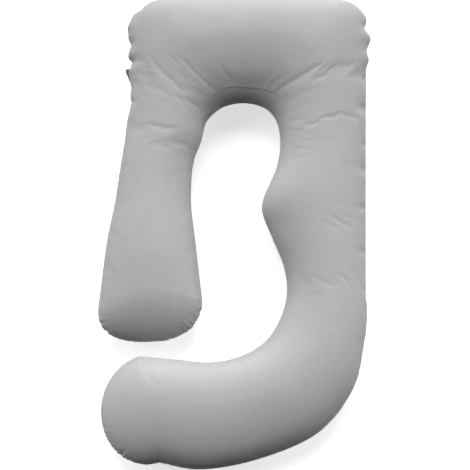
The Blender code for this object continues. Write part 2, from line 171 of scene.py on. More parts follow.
def ribEnds():
    # (inner point, outer point) of each rib across the roll, from the arm's end to the leg's end
    p = roll
    neckRadius = (right - p["backWidth"] - left - p["armNeckInset"] - p["armNeckWidth"]) / 2 - p["neckFlare"]
    neckX = right - p["backWidth"] - neckRadius
    neckY = head - p["headDepth"] - neckRadius

    def neck(degrees, stretch=1.0):
        # a point on the opening's round top: centre + radius * stretch * (cos, sin)
        angle = np.radians(degrees)
        return (neckX + neckRadius * stretch * np.cos(angle), neckY + neckRadius * stretch * np.sin(angle))

    armTop = foot + p["legEndDepth"] + p["armToLegGap"] + p["armEndRound"]
    armNeckY = head - p["armNeckAt"]
    armNeckOuter = left + p["armNeckInset"]
    armNeckInner = armNeckOuter + p["armNeckWidth"]
    swellY = between(armTop, armNeckY, 0.62)
    upperArmY = between(neckY, armNeckY, 0.36)
    headLeft, corner = left + p["headInset"], p["headCorner"]
    backInner, bellyInner = right - p["backWidth"], right - p["bellyWidth"]
    bellyY = head - p["bellyAt"]
    waistInner, waistY = right - p["waistWidth"], foot + p["waistFromFoot"]
    curveY = foot + p["footRound"]
    edgeTop, edgeBottom = head - p["edgeFromHead"], curveY + p["edgeFromCurve"]
    legTop = foot + p["legDepth"]
    legEndInner, legEndOuter = left + 0.77 * p["legEndRound"], left + 1.17 * p["legEndRound"]

    def backEdge(share):
        return (right, between(edgeTop, edgeBottom, share))

    def belowBelly(shareAcross, shareDown):
        return (between(bellyInner, waistInner, shareAcross), between(bellyY, waistY, shareDown))

    def overLeg(share, y):
        return (between(waistInner, legEndInner, share), y)

    def underLeg(share, y):
        return (between(right, legEndOuter, share), y)

    swellInner = between(left + p["armEndWidth"], armNeckInner, 0.62)
    return np.array([
        ((left + p["armEndWidth"], armTop), (left, armTop)),
        ((swellInner, swellY), (between(left, armNeckOuter, 0.5), swellY)),
        ((armNeckInner, armNeckY), (armNeckOuter, armNeckY)),
        ((armNeckInner + 0.006, upperArmY), (between(armNeckOuter, headLeft, 0.4), upperArmY)),
        (neck(181, 1.05), (headLeft - 0.012, neckY + 0.030)),
        (neck(150, 1.04), (headLeft + 0.003, head - 0.235)),
        (neck(124, 1.02), (headLeft, head - 1.45 * corner)),
        (neck(106), (headLeft + 0.34 * corner, head - 0.40 * corner)),
        (neck(92), (headLeft + 1.7 * corner, head)),
        (neck(78, 1.01), (between(headLeft, right, 0.5), head)),
        (neck(64, 1.04), (right - 2.6 * corner, head)),
        (neck(49, 1.07), (right - 0.48 * corner, head - 0.22 * corner)),
        (neck(34, 1.06), (right, head - 1.1 * corner)),
        (neck(15, 1.02), (right, edgeTop)),
        ((backInner, head - p["backAt"]), backEdge(0.19)),
        ((backInner - 0.014, head - p["backAt"] - 0.064), backEdge(0.38)),
        ((bellyInner, bellyY), backEdge(0.56)),
        (belowBelly(0.38, 0.34), backEdge(0.71)),
        (belowBelly(0.87, 0.70), backEdge(0.89)),
        ((waistInner, waistY), (right, edgeBottom)),
        ((waistInner - 0.019, waistY - 0.077), (right - 0.006, curveY - 0.045)),
        ((waistInner - 0.065, waistY - 0.150), (right - 0.039, curveY - 0.182)),
        (overLeg(0.314, legTop + 0.019), underLeg(0.233, foot + 0.112)),
        (overLeg(0.530, legTop), underLeg(0.525, foot + 0.031)),
        (overLeg(0.733, legTop + 0.008), underLeg(0.804, foot)),
        ((legEndInner, foot + p["legEndDepth"]), (legEndOuter, foot + 0.022)),
    ])


def throughPoints(points, at):
    # the Catmull-Rom curve through the points; the whole part of at picks the span
    ends = [2 * points[0] - points[1]], [2 * points[-1] - points[-2]]
    padded = np.concatenate([ends[0], points, ends[1]])
    span = np.minimum(at.astype(int), len(points) - 2)
    t = (at - span).reshape(-1, *[1] * (points.ndim - 1))
    p0, p1, p2, p3 = (padded[span + i] for i in range(4))
    square, cube = 2 * p0 - 5 * p1 + 4 * p2 - p3, 3 * p1 - p0 - 3 * p2 + p3
    return 0.5 * (2 * p1 + (p2 - p0) * t + square * t**2 + cube * t**3)


def evenRows(ribs, step):
    # places along the ribs, spaced so that neither edge of the roll moves more than step from row to row
    fine = np.linspace(0, len(ribs) - 1, 40 * len(ribs))
    edges = throughPoints(ribs, fine)
    moved = np.linalg.norm(np.diff(edges, axis=0), axis=2).max(axis=1)
    along = np.concatenate([[0], np.cumsum(moved)])
    count = 2 * int(np.ceil(along[-1] / step / 2)) + 1
    return np.interp(np.linspace(0, along[-1], count), along, fine)


def smoothRows(values, rows):
    # a running weighted mean along the rows, with the ends held
    reach = np.arange(-3 * rows, 3 * rows + 1)
    weight = np.exp(-0.5 * (reach / rows) ** 2)
    weight /= weight.sum()
    before = 2 * values[:1] - values[1:3 * rows + 1][::-1]
    after = 2 * values[-1:] - values[-3 * rows - 1:-1][::-1]
    padded = np.concatenate([before, values, after])
    return sum(w * padded[i:i + len(values)] for i, w in enumerate(weight))


def signedPower(value, power):
    # sign(value) * |value|^power
    return np.sign(value) * np.abs(value) ** power


def seamRise(y):
    # How far round the roll, in radians, the inner seam sits above the widest point. It is most round the
    # neck opening, riseDegrees + crestDegrees * exp(-((y - neck) / riseOver)^2), and fades out below it.
    p = roll
    neckY = head - p["headDepth"]
    up = np.clip((y - p["riseFrom"]) / p["riseOver"], 0, 1)
    up = up * up * (3 - 2 * up)
    crest = np.exp(-(((y - neckY) / p["riseOver"]) ** 2))
    return np.radians((p["riseDegrees"] + p["crestDegrees"] * crest) * up)


def rollGrid():
    # The roll's surface, as two panels of rows by columns.
    # A row in the body is half a superellipse: across = -cos(turn)^(2/power), up = sin(turn)^(2/power). Above
    # the seam the power is higher on the head edge's side and lower on the other, by flankChange.
    # A rounded end is a square mapped to a half disc: (t sqrt(1 - a^2/2), a sqrt(1 - t^2/2)), its height
    # H (1 - r^power)^(1/power), so that neither end has a pole and the seam is the whole boundary.
    p = roll
    ribs = ribEnds()
    at = evenRows(ribs, p["rowStep"])
    edges = smoothRows(throughPoints(ribs, at), 2)
    inner, outer = edges[:, 0], edges[:, 1]
    middle, half = (inner + outer) / 2, (outer - inner) / 2
    width = np.linalg.norm(half, axis=1)
    full = (2 * width / p["rollWidth"]) ** p["narrowFall"]
    walked = lengthAlong(middle[None], 1)[0]
    armPoint = middle[0] - np.array((p["armEndSlant"], p["armEndRound"]))
    legPoint = np.array((left + 0.010, middle[-1][1] - p["legEndSlant"]))
    armRound, legRound = np.linalg.norm(armPoint - middle[0]), np.linalg.norm(legPoint - middle[-1])

    def thinned(fromArmTip, fromLegTip):
        # 1 - taper * (share of the way to the tip)^1.3, for each end
        arm = 1 - p["armTaper"] * np.clip(1 - fromArmTip / p["armTaperLength"], 0, 1) ** 1.3
        return arm * (1 - p["legTaper"] * np.clip(1 - fromLegTip / p["legTaperLength"], 0, 1) ** 1.3)

    fall = full * thinned(walked + armRound, walked[-1] - walked + legRound)
    rise = seamRise(inner[:, 1]) * np.clip(np.minimum(at, len(ribs) - 1 - at) / 2, 0, 1)
    share = np.linspace(0, 1, p["columns"] + 1)
    power = p["sectionPower"]
    squarer = p["flankChange"] * half[:, 1] / width * np.clip((len(ribs) - 1 - at) / 2, 0, 1)
    panels = []
    for above in (True, False):
        end = np.pi if above else -np.pi
        turn = rise[:, None] + (end - rise[:, None]) * share
        tall = np.where(turn > 0, p["crown"] * fall[:, None], p["belly"] * fall[:, None])
        flank = 2 / (power - squarer[:, None] * np.sign(np.cos(turn)) * (turn > 0))
        out = -signedPower(np.cos(turn), flank)
        up = signedPower(np.sin(turn), flank) * tall
        plan = middle[:, None] + half[:, None] * out[:, :, None]
        body = np.concatenate([plan, up[:, :, None]], axis=2)
        ends = []
        columnT = -signedPower(np.cos(np.pi * share), 2 / power)
        for row, point, endPower in ((0, armPoint, p["armEndPower"]), (-1, legPoint, p["legEndPower"])):
            run = np.sin(np.linspace(0, np.pi / 2, p["endRows"] + 1)[1:])[:, None]
            t = columnT[None]
            u, v = t * np.sqrt(1 - run**2 / 2), run * np.sqrt(1 - t**2 / 2)
            r = np.sqrt(u**2 + v**2)
            over = r * signedPower(u / r, 2 / endPower)
            ahead = r * signedPower(v / r, 2 / endPower)
            plan = middle[row] + half[row] * over[:, :, None] + (point - middle[row]) * ahead[:, :, None]
            thin = thinned((1 - ahead) * armRound, 9.0) if row == 0 else thinned(9.0, (1 - ahead) * legRound)
            whole = (p["crown"] if above else -p["belly"]) * full[row]
            up = np.maximum(1 - r**power, 0) ** (1 / power) * whole * thin
            ends.append(np.concatenate([plan, up[:, :, None]], axis=2))
        grid = np.concatenate([ends[0][::-1], body, ends[1]])
        grid[:, :, 1] += p["crownShift"] * np.clip(grid[:, :, 2] / p["crown"], 0, 1) ** 2
        grid[:, :, 2] += seamHeight
        panels.append(grid)
    return panels


# Meshes from grids

def boundaryLoop(rows, columns):
    # (row, column) of each point round a grid's boundary: up the first column, back down the last
    r, c = np.arange(rows), np.arange(columns)
    loopRow = np.concatenate([r, np.full(columns - 2, rows - 1), r[::-1], np.zeros(columns - 2, int)])
    loopColumn = np.concatenate([0 * r, c[1:-1], np.full(rows, columns - 1), c[1:-1][::-1]])
    return loopRow, loopColumn


def gridQuads(index, flip=False):
    # the faces between neighbouring rows and columns of vertex numbers
    quads = np.stack([index[:-1, :-1], index[1:, :-1], index[1:, 1:], index[:-1, 1:]], axis=-1).reshape(-1, 4)
    return quads[:, ::-1] if flip else quads


def addMesh(name, points, faces, finish=None, smooth=True, uvs=None):
    # uvs is one (u, v) for each corner of each face, in the faces' order
    mesh = bpy.data.meshes.new(name)
    mesh.from_pydata(points.reshape(-1, 3).tolist(), [], [list(f) for f in faces.tolist()])
    mesh.polygons.foreach_set("use_smooth", np.full(len(mesh.polygons), smooth))
    if uvs is not None:
        mesh.uv_layers.new(name="weave").data.foreach_set("uv", uvs.astype(np.float32).ravel())
    mesh.update()
    made = bpy.data.objects.new(name, mesh)
    bpy.context.scene.collection.objects.link(made)
    if finish:
        mesh.materials.append(finish)
    return made


def closedIndex(rows, columns):
    # vertex numbers of two panels that share their boundary, top then bottom
    upper = np.arange(rows * columns).reshape(rows, columns)
    lower = upper.copy()
    lower[1:-1, 1:-1] = rows * columns + np.arange((rows - 2) * (columns - 2)).reshape(rows - 2, columns - 2)
    return upper, lower


def lengthAlong(grid, axis):
    # the running length from the first point on, down the columns (axis 0) or along the rows (axis 1)
    steps = np.linalg.norm(np.diff(grid, axis=axis), axis=2)
    start = np.zeros_like(np.take(steps, [0], axis=axis))
    return np.concatenate([start, np.cumsum(steps, axis=axis)], axis=axis)


# The cover's seam waves and stuffing

waves = {
    # (x, y, how far out) of crests and troughs along the outer seam, in metres from the even outline
    "places": [
        # head's left side, from below the label
        (-0.318, 0.405, -0.006), (-0.315, 0.450, -0.003), (-0.316, 0.500, 0.006), (-0.318, 0.528, -0.004),
        (-0.318, 0.550, 0.006), (-0.318, 0.582, -0.003), (-0.318, 0.605, 0.005), (-0.318, 0.640, 0.011),
        (-0.300, 0.668, 0.006), (-0.290, 0.690, -0.006), (-0.262, 0.706, -0.002),
        # head edge
        (-0.200, 0.724, -0.006), (-0.110, 0.724, -0.001), (-0.060, 0.724, -0.003), (-0.026, 0.724, -0.005),
        (0.015, 0.724, -0.001), (0.062, 0.724, -0.010), (0.105, 0.724, -0.003), (0.150, 0.724, 0.002),
        (0.215, 0.724, -0.002), (0.245, 0.724, -0.006), (0.270, 0.724, 0.002), (0.330, 0.724, 0.001),
        # right corner and side
        (0.385, 0.690, 0.001), (0.408, 0.662, 0.008), (0.410, 0.634, -0.003), (0.410, 0.602, 0.013),
        (0.410, 0.569, 0.001), (0.410, 0.536, 0.010), (0.410, 0.479, -0.008), (0.410, 0.434, 0.003),
        (0.410, 0.385, -0.009), (0.410, 0.340, 0.001), (0.410, 0.275, -0.004), (0.410, 0.255, -0.002),
        (0.410, 0.200, -0.009), (0.410, 0.150, -0.003), (0.410, 0.080, -0.005), (0.410, -0.050, -0.003),
        (0.410, -0.160, 0.003), (0.408, -0.250, 0.005),
    ],
    "reach": 0.055,  # how far over the panels they fade out
    # beside the zipper: how far the seam's hold reaches, and the share taken off the waves
    "heldReach": 0.024, "calmer": 0.35,
}


def outlineWave(x, y):
    # the places' offsets, joined by half cosines along the outline's own length
    places = np.array(waves["places"])
    loop = np.stack([x, y], axis=1)
    along = np.concatenate([[0], np.cumsum(np.linalg.norm(np.diff(loop, axis=0), axis=1))])
    nearest = np.array([np.argmin(np.hypot(x - px, y - py)) for px, py, _ in places])
    at = along[nearest]
    order = np.argsort(at)
    at, out = at[order], places[order, 2]
    at = np.concatenate([[at[0] - 0.06], at, [at[-1] + 0.12]])
    out = np.concatenate([[0], out, [0]])
    span = np.clip(np.searchsorted(at, along) - 1, 0, len(at) - 2)
    share = np.clip((along - at[span]) / (at[span + 1] - at[span]), 0, 1)
    share = share * share * (3 - 2 * share)
    return out[span] + (out[span + 1] - out[span]) * share


nearZip = {
    # how far past the zipper's ends each change of the seam reaches, and how far it fades there
    "wave": (0.045, 0.05), "pin": (0.030, 0.02), "straight": (0.035, 0.03), "pocket": (0.012, 0.012),
}


def besideZip(points, change):
    # 1 on the outer side beside the zipper and past its ends, then 0, with a smooth step
    past, fade = nearZip[change]
    y = points[..., 1]
    share = np.clip((np.minimum(y - zipBottom, zipTop - y) + past) / fade + 0.5, 0, 1)
    return share * share * (3 - 2 * share) * (points[..., 0] > 0.9 * right)


def waved(grid):
    # Moves the panel near its outer seam by the outline wave, fading as exp(-(q / reach)^2).
    # Beside the zipper the seam itself stays straight, and the wave is in the cloth over it.
    edge = grid[:, -1]
    wave = outlineWave(edge[:, 0], edge[:, 1])
    q = lengthAlong(grid, 1)
    q = q[:, -1:] - q
    outward = grid[:, -1, :2] - grid[:, len(grid[0]) // 2, :2]
    outward /= np.linalg.norm(outward, axis=1, keepdims=True)
    nextTo = np.gradient(edge[:, :2], axis=0)
    nextTo /= np.maximum(np.linalg.norm(nextTo, axis=1, keepdims=True), 1e-9)
    side = np.stack([-nextTo[:, 1], nextTo[:, 0]], axis=1)
    outward = side * np.sign((side * outward).sum(axis=1, keepdims=True))
    atZip = besideZip(edge, "wave")[:, None]
    fade = np.exp(-((q / waves["reach"]) ** 2))
    held = np.exp(-((q / waves["heldReach"]) ** 2)) * atZip
    amount = wave[:, None] * fade * (1 - held) * (1 - waves["calmer"] * atZip)
    moved = grid.copy()
    moved[:, :, :2] += outward[:, None] * amount[:, :, None]
    return moved


stuffing = {"pressure": 6.0, "slack": 0.010, "frames": 14, "share": 0.3, "cap": 0.007, "pin": 0.9}


def stuffed(top, bottom):
    # The panels are cut a little larger than the shape and blown up as cloth, with the seam held softly.
    # Each point keeps a share of its move, which is capped.
    rows, columns = top.shape[:2]
    upper, lower = closedIndex(rows, columns)
    points = np.concatenate([top.reshape(-1, 3), bottom[1:-1, 1:-1].reshape(-1, 3)])
    faces = np.concatenate([gridQuads(upper), gridQuads(lower, True)])
    work = addMesh("stuffing_work", points, faces)
    seam = work.vertex_groups.new(name="seam")
    loopRow, loopColumn = boundaryLoop(rows, columns)
    atZip = besideZip(top[loopRow, loopColumn], "pin") > 0.5
    numbers = upper[loopRow, loopColumn]
    seam.add(numbers[~atZip].tolist(), stuffing["pin"], "REPLACE")
    seam.add(numbers[atZip].tolist(), 1.0, "REPLACE")
    cloth = work.modifiers.new("stuffing", "CLOTH")
    s = cloth.settings
    s.quality = 4
    s.mass = 0.2
    s.tension_stiffness = s.compression_stiffness = 20
    s.shear_stiffness = 8
    s.bending_stiffness = 0.8
    s.use_pressure = True
    s.uniform_pressure_force = stuffing["pressure"]
    s.shrink_min = -stuffing["slack"]
    s.shrink_max = 0.0
    s.vertex_group_shrink = "seam"
    s.vertex_group_mass = "seam"
    s.pin_stiffness = 1.0
    s.effector_weights.gravity = 0.0
    cloth.collision_settings.use_collision = False
    scene = bpy.context.scene
    for number in range(1, stuffing["frames"] + 1):
        scene.frame_set(number)
    result = work.evaluated_get(bpy.context.evaluated_depsgraph_get())
    moved = np.empty(len(points) * 3)
    result.data.vertices.foreach_get("co", moved)
    moved = moved.reshape(-1, 3) - points
    scene.frame_set(1)
    bpy.data.objects.remove(work)
    far = np.linalg.norm(moved, axis=1, keepdims=True)
    print("stuffing moved the cloth by up to", round(1000 * far.max(), 1), "mm")
    points = points + stuffing["share"] * moved * np.minimum(1, stuffing["cap"] / np.maximum(far, 1e-9))
    return points[upper], points[lower]


def refined(grid):
    # twice the rows and columns, on the Catmull-Rom curves through the points
    rows = throughPoints(grid, np.arange(2 * len(grid) - 1) / 2)
    columns = throughPoints(rows.transpose(1, 0, 2), np.arange(2 * grid.shape[1] - 1) / 2)
    return columns.transpose(1, 0, 2)


top, bottom = rollGrid()
top, bottom = waved(top), waved(bottom)
print("roll grid", top.shape)
top, bottom = stuffed(top, bottom)
settled = top[::2, ::2], bottom[::2, ::2]
top, bottom = refined(top), refined(bottom)


# Gathers and creases, which run in from the seam

gathers = {
    # (x, y) of each run's middle on the seam, its half length, the spacing, depth and reach of its folds
    "runs": [
        (-0.118, -0.285, 0.085, 0.0150, 0.0072, 0.056),
        (-0.250, -0.325, 0.095, 0.0200, 0.0042, 0.036),
        (-0.392, -0.275, 0.080, 0.0175, 0.0066, 0.046),
        (-0.095, -0.205, 0.045, 0.0120, 0.0034, 0.040),
        (-0.374, -0.640, 0.085, 0.0170, 0.0058, 0.048),
        (-0.402, -0.520, 0.070, 0.0260, 0.0024, 0.040),
        (-0.300, -0.712, 0.060, 0.0210, 0.0030, 0.036),
        (0.020, -0.060, 0.100, 0.0210, 0.0016, 0.060),
        (-0.310, 0.560, 0.110, 0.0240, 0.0026, 0.055),
        (-0.370, 0.140, 0.200, 0.0330, 0.0014, 0.070),
        (0.400, -0.330, 0.150, 0.0300, 0.0014, 0.060),
    ],
    # folds at the troughs of the outline's waves: depth, width and reach
    "creases": (0.0046, 0.0080, 0.060),
    "looseFrom": 0.014,  # how far from the zipper's seam the folds start
    "seamShare": 0.7, "seamIn": 0.004, "seamOut": 0.002,  # how the seam follows the folds, and its limits
}


def gridNormals(grid, above):
    # unit normals from the rows' and columns' steps
    along, across = np.gradient(grid, axis=0), np.gradient(grid, axis=1)
    normal = np.cross(along, across) * (1 if above else -1)
    return normal / np.maximum(np.linalg.norm(normal, axis=2, keepdims=True), 1e-12)


def nearSeam(grid, edge, along, middle, reach):
    # the points within reach of middle: which they are, how far along the seam, and how far from it
    close = np.linalg.norm(grid[:, :, :2] - middle, axis=2) < reach
    seam = np.linalg.norm(edge[:, :2] - middle, axis=1) < 1.3 * reach
    gaps = np.linalg.norm(grid[close][:, None] - edge[seam][None], axis=2)
    nearest = gaps.argmin(axis=1)
    return close, along[seam][nearest], gaps.min(axis=1)


def loose(points, q):
    # 0 on the seam beside the zipper, where the cloth is held straight, and 1 elsewhere
    return 1 - besideZip(points, "straight") * np.exp(-((q / gathers["looseFrom"]) ** 2))


def gathered(grid, above, edge):
    # Each fold lowers the cloth along its normal, by
    # depth * (0.6 - |sin(pi s / spacing)|^0.6) * exp(-(q / reach)^2), where s is the way along the seam,
    # made uneven by two sines, and q the way in from it. A crease is a narrow trough that widens inwards.
    along = np.concatenate([[0], np.cumsum(np.linalg.norm(np.diff(edge, axis=0), axis=1))])
    sunk = np.zeros(grid.shape[:2])
    for x, y, halfLength, spacing, depth, reach in gathers["runs"]:
        middle = np.array((x, y))
        start = along[np.linalg.norm(edge[:, :2] - middle, axis=1).argmin()]
        close, s, q = nearSeam(grid, edge, along, middle, halfLength + 2 * reach)
        uneven = s + 0.22 * spacing * np.sin(2.1 * s / spacing)
        uneven = uneven + 0.15 * spacing * np.sin(5.3 * s / spacing + 40 * q)
        fold = 0.6 - np.abs(np.sin(np.pi * uneven / spacing)) ** 0.6
        strength = np.clip(1.6 * (1 - ((s - start) / halfLength) ** 2), 0, 1)
        strength = strength * (0.75 + 0.25 * np.sin(1.3 * s / spacing))
        sunk[close] += depth * strength * fold * np.exp(-((q / reach) ** 2)) * loose(grid[close], q)
    depth, width, reach = gathers["creases"]
    for x, y, out in waves["places"]:
        if out < 0:
            middle = np.array((x, y))
            start = along[np.linalg.norm(edge[:, :2] - middle, axis=1).argmin()]
            close, s, q = nearSeam(grid, edge, along, middle, 2.2 * reach)
            aside = (s - start) / width
            fold = np.exp(-((aside / (1 + 12 * q)) ** 2)) - 0.35 * np.exp(-((aside / 3) ** 2))
            strength = min(1, -out / 0.005)
            sunk[close] += strength * depth * fold * np.exp(-((q / reach) ** 2)) * loose(grid[close], q)
    return grid - gridNormals(grid, above) * sunk[:, :, None]


loopRow, loopColumn = boundaryLoop(*top.shape[:2])
seamLine = top[loopRow, loopColumn]
top, bottom = gathered(top, True, seamLine), gathered(bottom, False, seamLine)
nextTo = np.roll(seamLine, -1, axis=0) - np.roll(seamLine, 1, axis=0)
away = np.stack([nextTo[:, 1], -nextTo[:, 0], 0 * nextTo[:, 0]], axis=1)
away /= np.maximum(np.linalg.norm(away, axis=1, keepdims=True), 1e-12)
pulled = ((top[loopRow, loopColumn] - seamLine) * away).sum(axis=1, keepdims=True)
pulled = np.clip(gathers["seamShare"] * pulled, -gathers["seamIn"], gathers["seamOut"])
seamLine = seamLine + away * pulled * (1 - besideZip(seamLine, "straight")[:, None])
top[loopRow, loopColumn] = bottom[loopRow, loopColumn] = seamLine
for grid in (top, bottom):
    grid[:, :, 2] = np.maximum(grid[:, :, 2], 0.0)


# The seam's groove, which opens into a pocket for the zipper

pocket = {
    # (out from the cover's edge, up from the seam) of each point of the lip, from the panel's edge inwards
    "open": [
        (0.0, 0.0070), (-0.0004, 0.0064), (-0.0010, 0.0066),
        (-0.0012, 0.0122), (-0.0054, 0.0124), (-0.0056, 0.0),
    ],
    "closed": [
        (0.0, 0.0005), (-0.0004, 0.0004), (-0.0008, 0.0003),
        (-0.0011, 0.0002), (-0.0014, 0.0001), (-0.0016, 0.0),
    ],
    "outerLift": 0.020, "innerLift": 0.006,  # how far over the panels the lips' lift fades out at each seam
}


def seamed(top, bottom):
    # Parts the two panels at the seam, and carries the lip's profile round the loop to close them again.
    rows, columns = top.shape[:2]
    loopRow, loopColumn = boundaryLoop(rows, columns)
    edge = top[loopRow, loopColumn]
    ahead = np.roll(edge, -1, axis=0) - np.roll(edge, 1, axis=0)
    outward = np.stack([ahead[:, 1], -ahead[:, 0], np.zeros(len(edge))], axis=1)
    outward /= np.maximum(np.linalg.norm(outward, axis=1, keepdims=True), 1e-12)
    opened = besideZip(edge, "pocket")
    profile = between(np.array(pocket["closed"])[None], np.array(pocket["open"])[None], opened[:, None, None])
    lips = []
    for sign in (1, -1):
        out = outward[:, None] * profile[:, :, :1]
        up = np.array((0, 0, 1.0)) * profile[:, :, 1:] * sign
        lips.append(edge[:, None] + out + up)
    strip = np.concatenate([lips[0], lips[1][:, -2::-1]], axis=1)
    for grid, sign in ((top, 1), (bottom, -1)):
        q = lengthAlong(grid, 1)
        part = profile[:, 0, 1]
        amount = np.zeros((rows, columns))
        amount[loopRow, loopColumn] = part
        outerLift = np.exp(-((q[:, -1:] - q) / pocket["outerLift"]) ** 2) * amount[:, -1:]
        innerLift = np.exp(-(q / pocket["innerLift"]) ** 2) * amount[:, :1]
        lift = np.maximum(outerLift, innerLift)
        lift[[0, -1]] = part.min()
        grid[:, :, 2] += sign * lift
    strip[:, 0] = top[loopRow, loopColumn]
    strip[:, -1] = bottom[loopRow, loopColumn]
    return strip


strip = seamed(top, bottom)


def coverMesh(name, top, bottom, strip, finish):
    # both panels and the strip between them as one closed mesh, with the flat cut panels as its UV map
    rows, columns = top.shape[:2]
    loopRow, loopColumn = boundaryLoop(rows, columns)
    upper = np.arange(rows * columns).reshape(rows, columns)
    lower = upper + rows * columns
    lip = 2 * rows * columns + np.arange(len(strip) * (strip.shape[1] - 2)).reshape(len(strip), -1)
    upperLoop, lowerLoop = upper[loopRow, loopColumn], lower[loopRow, loopColumn]
    ring = np.concatenate([upperLoop[:, None], lip, lowerLoop[:, None]], axis=1)
    ring = np.concatenate([ring, ring[:1]])
    faces = np.concatenate([gridQuads(upper), gridQuads(lower, True), gridQuads(ring, True)])
    points = np.concatenate([top.reshape(-1, 3), bottom.reshape(-1, 3), strip[:, 1:-1].reshape(-1, 3)])
    flatTop, flatBottom = flatPattern(top), flatPattern(bottom) + np.array((1.0, 0.0))
    stripFlat = np.repeat(flatTop[loopRow, loopColumn][:, None], strip.shape[1] - 2, axis=1)
    flat = np.concatenate([flatTop.reshape(-1, 2), flatBottom.reshape(-1, 2), stripFlat.reshape(-1, 2)])
    made = addMesh(name, points, faces, finish, True, flat[faces.reshape(-1)])
    sharpen(made, upperLoop, lowerLoop)
    return made


def sharpen(made, *loops):
    # marks the edges along these vertex loops as sharp
    mesh = made.data
    ends = np.empty(2 * len(mesh.edges), np.int32)
    mesh.edges.foreach_get("vertices", ends)
    ends = ends.reshape(-1, 2)
    marked = np.zeros(len(ends), bool)
    for loop in loops:
        marked |= np.isin(ends, loop).all(axis=1)
    mesh.attributes.new("sharp_edge", "BOOLEAN", "EDGE").data.foreach_set("value", marked)


def flatPattern(grid):
    # where each point lies on the flat cut panel: the crown's place in plan, plus the length over the roll
    # from the crown, in the row's own plan direction
    crown = grid.shape[1] // 2
    q = lengthAlong(grid, 1)
    q = q - q[:, crown:crown + 1]
    plan = grid[:, :, :2]
    away = plan - plan[:, crown:crown + 1]
    far = np.linalg.norm(away, axis=2, keepdims=True)
    across = plan[:, -1] - plan[:, 0]
    across /= np.maximum(np.linalg.norm(across, axis=1, keepdims=True), 1e-9)
    direction = np.where(far > 0.01, away / np.maximum(far, 1e-9), across[:, None] * np.sign(q)[:, :, None])
    s = lengthAlong(grid, 0)[:, crown]
    fromStart = np.concatenate([[0], np.cumsum(np.linalg.norm(np.diff(plan[:, crown], axis=0), axis=1))])
    ahead = np.gradient(plan[:, crown], axis=0)
    ahead /= np.maximum(np.linalg.norm(ahead, axis=1, keepdims=True), 1e-9)
    steps = ahead * (np.gradient(s) - np.gradient(fromStart))[:, None]
    middle = len(grid) // 2
    extra = np.cumsum(steps, axis=0)
    extra -= extra[middle]
    return plan[:, crown][:, None] + extra[:, None] + direction * np.abs(q)[:, :, None]


def jersey():
    # blend = 0.55 streaks + 0.30 fine + 0.15 cloudy; knit = (sin(2 pi 700 y) + sin(2 pi 600 x)) / 2
    finish = Finish("jersey_grey")
    weave = finish.uv("weave")
    streaks = finish.noise(finish.stretched(weave, (38.0, 340.0, 1.0)), 1.0, 3.0, 0.6)
    fine = finish.noise(finish.stretched(weave, (130.0, 1100.0, 1.0)), 1.0, 2.0, 0.6)
    cloudy = finish.noise(weave, 6.0, 2.0)
    blend = 0.55 * streaks.between(0.3, 0.7) + 0.30 * fine.between(0.25, 0.75)
    blend = blend + 0.15 * cloudy.between(0.3, 0.7)
    colour = finish.mix(blend, tone((0.368, 0.368, 0.373)), tone((0.442, 0.442, 0.447)))
    course = finish.axis(weave, "Y")
    wale = finish.axis(weave, "X")
    knit = (course * (6.2832 * 700)).sine() * 0.5 + (wale * (6.2832 * 600)).sine() * 0.5
    bump = finish.bump(knit * 0.35 + fine * 0.65, 0.35, 0.0006)
    return finish.finished(
        Base_Color=colour, Roughness=0.92, Normal=bump, Specular_IOR_Level=0.25,
        Sheen_Weight=0.15, Sheen_Roughness=0.5, Sheen_Tint=tone((0.9, 0.9, 0.92)),
    )


cover = coverMesh("cover", top, bottom, strip, jersey())
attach(cover, "pillow")
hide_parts("cover_front_panel", "cover_back_panel")
print("cover", len(cover.data.polygons), "faces")


# What the cover holds: the sewn liner, and the fibre in it

layers = {
    # how far inside the cover each lies, and how far it keeps from the zipper
    "liner": {"inset": 0.006, "zip": 0.0090},
    "filling": {"inset": 0.010, "zip": 0.0140},
}


def inner(name, slot, finish, top, bottom, inset, zip):
    # the coarse panels moved inwards along their normals, and kept off the zipper
    rows, columns = top.shape[:2]
    upper, lower = closedIndex(rows, columns)
    faces = np.concatenate([gridQuads(upper), gridQuads(lower, True)])
    points = np.concatenate([top.reshape(-1, 3), bottom[1:-1, 1:-1].reshape(-1, 3)])
    corners = points[faces]
    faceNormals = np.cross(corners[:, 2] - corners[:, 0], corners[:, 3] - corners[:, 1])
    normals = np.zeros_like(points)
    for corner in range(4):
        np.add.at(normals, faces[:, corner], faceNormals)
    normals /= np.maximum(np.linalg.norm(normals, axis=1, keepdims=True), 1e-12)
    points = points - inset * normals
    points[:, 0] = np.minimum(points[:, 0], right - zip)
    points[:, 2] = np.maximum(points[:, 2], inset)
    flatTop, flatBottom = flatPattern(top), flatPattern(bottom)[1:-1, 1:-1]
    flat = np.concatenate([flatTop.reshape(-1, 2), flatBottom.reshape(-1, 2)])
    made = addMesh(name, points, faces, finish, True, flat[faces.reshape(-1)])
    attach(made, "pillow")
    return made


def linerCloth():
    # a plain weave, sin(5200 x) * sin(5200 y)
    finish = Finish("liner_white")
    weave = finish.uv("weave")
    threads = (finish.axis(weave, "X") * 5200.0).sine() * (finish.axis(weave, "Y") * 5200.0).sine()
    worn = finish.noise(weave, 9.0, 3.0)
    colour = finish.mix(worn, tone((0.80, 0.80, 0.78)), tone((0.88, 0.88, 0.87)))
    return finish.finished(Base_Color=colour, Roughness=0.85, Normal=finish.bump(threads, 0.3, 0.0003))


